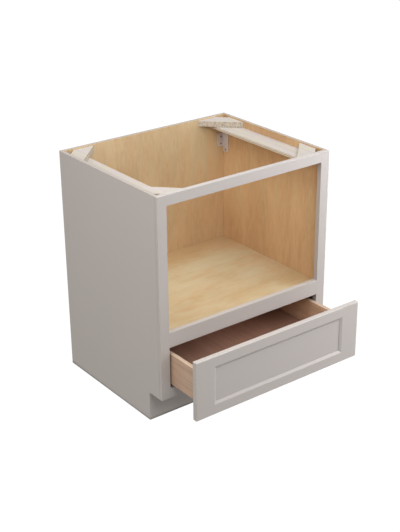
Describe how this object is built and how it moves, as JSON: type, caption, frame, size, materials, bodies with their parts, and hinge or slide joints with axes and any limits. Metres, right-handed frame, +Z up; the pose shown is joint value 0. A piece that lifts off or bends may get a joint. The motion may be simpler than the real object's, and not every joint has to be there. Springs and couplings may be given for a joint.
{
  "type": "microwave cabinet",
  "caption": "Framed base cabinet for a microwave: an open-topped bay with a deck, above a dovetailed drawer on undermount slides",
  "frame": {"origin": "on the floor at the wall, midway between the two sides", "axes": "+X to the right of someone facing the front, +Y into the wall, +Z up"},
  "size_m": [0.762, 0.8008, 0.8763],
  "materials": {
    "paint": "satin warm-grey paint on hardwood",
    "maple_ply": "clear-coated maple veneer inside, warm-grey paint outside, bare edges",
    "raw_ply": "unfinished plywood",
    "drawer_wood": "clear-coated hardwood",
    "bracket_steel": "zinc-plated sheet",
    "screw_steel": "zinc-plated",
    "nylon": "matt moulded nylon",
    "bumper": "clear soft dot"
  },
  "bodies": {
    "cabinet": {"left_side_panel": "maple_ply", "right_side_panel": "maple_ply", "back_panel": "maple_ply", "bottom_panel": "maple_ply", "microwave_deck": "maple_ply", "toe_kick_board": "paint", "left_stile": "paint", "right_stile": "paint", "top_rail": "paint", "middle_rail": "paint", "bottom_rail": "paint", "left_top_strip": "raw_ply", "right_top_strip": "raw_ply", "corner_block_back_left": "raw_ply", "corner_block_front_left": "raw_ply", "corner_block_back_right": "raw_ply", "corner_block_front_right": "raw_ply", "corner_bracket_left": "bracket_steel", "corner_bracket_right": "bracket_steel", "bracket_screw_left_1": "screw_steel", "bracket_screw_left_2": "screw_steel", "bracket_screw_left_3": "screw_steel", "bracket_screw_right_1": "screw_steel", "bracket_screw_right_2": "screw_steel", "bracket_screw_right_3": "screw_steel", "left_slide_cabinet_member": "bracket_steel", "right_slide_cabinet_member": "bracket_steel", "slide_screw_left": "screw_steel", "slide_screw_right": "screw_steel", "left_slide_rear_bracket": "nylon", "right_slide_rear_bracket": "nylon", "rear_bracket_screw_left": "screw_steel", "rear_bracket_screw_right": "screw_steel"},
    "drawer": {"left_slide_drawer_member": "bracket_steel", "right_slide_drawer_member": "bracket_steel", "left_locking_clip": "nylon", "right_locking_clip": "nylon", "drawer_box_left_side": "drawer_wood", "drawer_box_right_side": "drawer_wood", "drawer_box_front": "drawer_wood", "drawer_box_back": "drawer_wood", "drawer_box_bottom": "drawer_wood", "drawer_front_left_stile": "paint", "drawer_front_right_stile": "paint", "drawer_front_top_rail": "paint", "drawer_front_bottom_rail": "paint", "drawer_front_panel": "paint", "front_screw_left_1": "screw_steel", "front_screw_left_2": "screw_steel", "front_screw_right_1": "screw_steel", "front_screw_right_2": "screw_steel", "bumper_top_left": "bumper", "bumper_bottom_left": "bumper", "bumper_top_right": "bumper", "bumper_bottom_right": "bumper"},
    "left_middle": {"left_slide_middle_member": "bracket_steel"},
    "right_middle": {"right_slide_middle_member": "bracket_steel"}
  },
  "joints": [
    {"name": "drawer_slide", "type": "slide", "parent": "cabinet", "child": "drawer", "axis": [0, -1, 0], "range_m": [-0.1702, 0.3628]},
    {"name": "left_middle_slide", "type": "slide", "parent": "cabinet", "child": "left_middle", "axis": [0, -1, 0], "range_m": [-0.0851, 0.1814]},
    {"name": "right_middle_slide", "type": "slide", "parent": "cabinet", "child": "right_middle", "axis": [0, -1, 0], "range_m": [-0.0851, 0.1814]}
  ],
  "couplings": [
    {"joint": "left_middle_slide", "follows": "drawer_slide", "ratio": 0.5},
    {"joint": "right_middle_slide", "follows": "drawer_slide", "ratio": 0.5}
  ]
}
